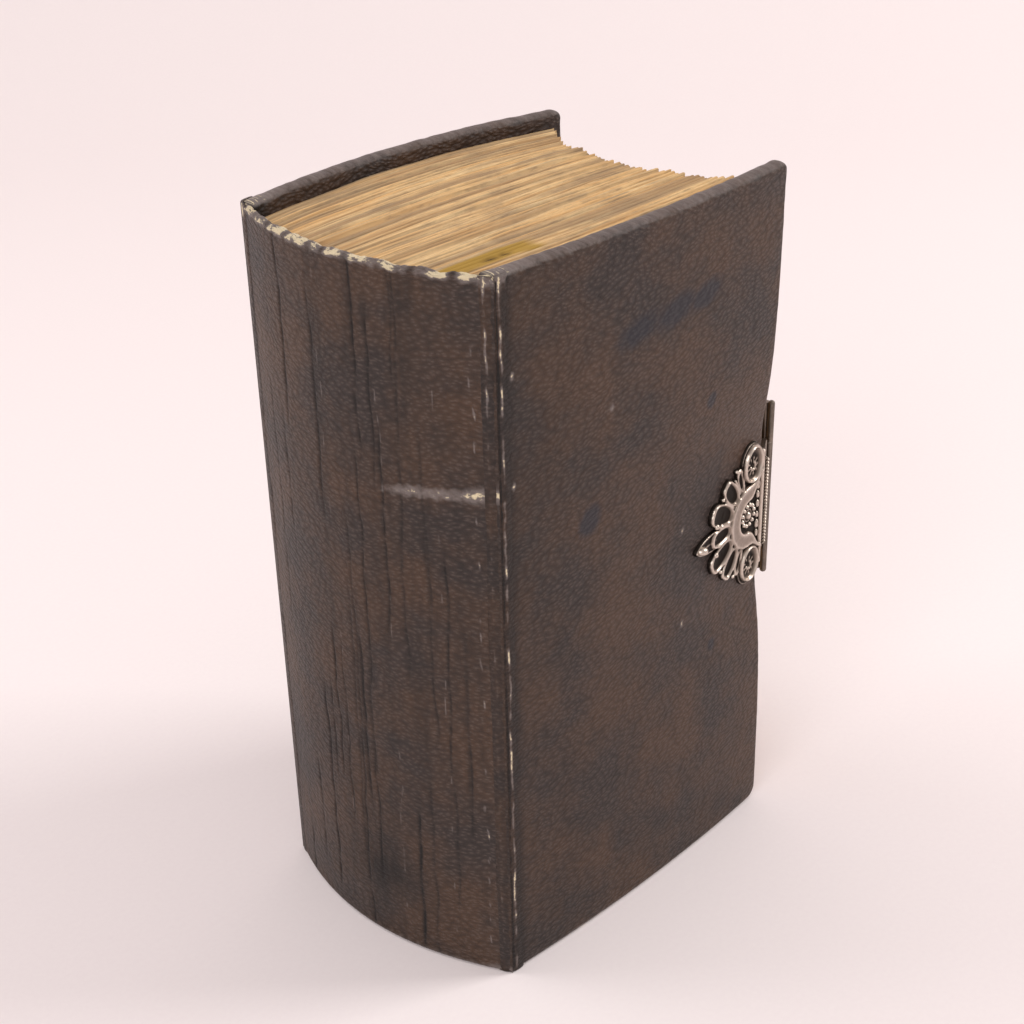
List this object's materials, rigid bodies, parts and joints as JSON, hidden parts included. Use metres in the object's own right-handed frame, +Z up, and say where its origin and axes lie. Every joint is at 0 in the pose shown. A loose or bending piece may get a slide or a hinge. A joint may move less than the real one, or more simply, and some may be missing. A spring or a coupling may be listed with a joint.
{
  "type": "antique leather book",
  "caption": "Thick antique leather-bound book with rounded spine, hollow fore-edge, opening covers and a hinged silver clasp with a cast shell plate.",
  "frame": {"origin": "on the surface that the book stands on, under the middle of the whole book", "axes": "+Z up the book from tail to head, -X the spine, +X the fore-edge, -Y the front cover"},
  "size_m": [0.0972, 0.069, 0.15],
  "materials": {
    "leaves": "old laid paper, browned at the cut edges",
    "tape": "linen",
    "lining": "pasted waste paper",
    "leather": "dark brown grained calf, rubbed and cracked at the joints",
    "pasteboard": "raw",
    "endpaper": "plain browned paper",
    "silver": "cast silver, tarnished dark in the hollows"
  },
  "bodies": {
    "book_block": {"text_block": "leaves", "sewing_tapes": "tape", "spine_lining": "lining", "spine_leather": "leather"},
    "front_cover": {"front_board": "pasteboard", "front_leather": "leather", "front_pastedown": "endpaper", "catch_plate": "silver", "catch_lip": "silver", "catch_twisted_wire": "silver", "catch_nails": "silver"},
    "back_cover": {"back_board": "pasteboard", "back_leather": "leather", "back_pastedown": "endpaper", "anchor_plate": "silver", "anchor_nails": "silver", "hinge_pin": "silver"},
    "clasp": {"clasp_strap": "silver"}
  },
  "joints": [
    {"name": "front_cover_joint", "type": "hinge", "parent": "book_block", "child": "front_cover", "pos_m": [-0.0385, -0.03287, 0.075], "axis": [0, 0, -1], "range_deg": [0, 160]},
    {"name": "back_cover_joint", "type": "hinge", "parent": "book_block", "child": "back_cover", "pos_m": [-0.0425, 0.02883, 0.075], "axis": [0, 0, 1], "range_deg": [0, 160]},
    {"name": "clasp_hinge", "type": "hinge", "parent": "back_cover", "child": "clasp", "pos_m": [0.03998, 0.02654, 0.075], "axis": [0, 0, 1], "range_deg": [0, 150]}
  ]
}
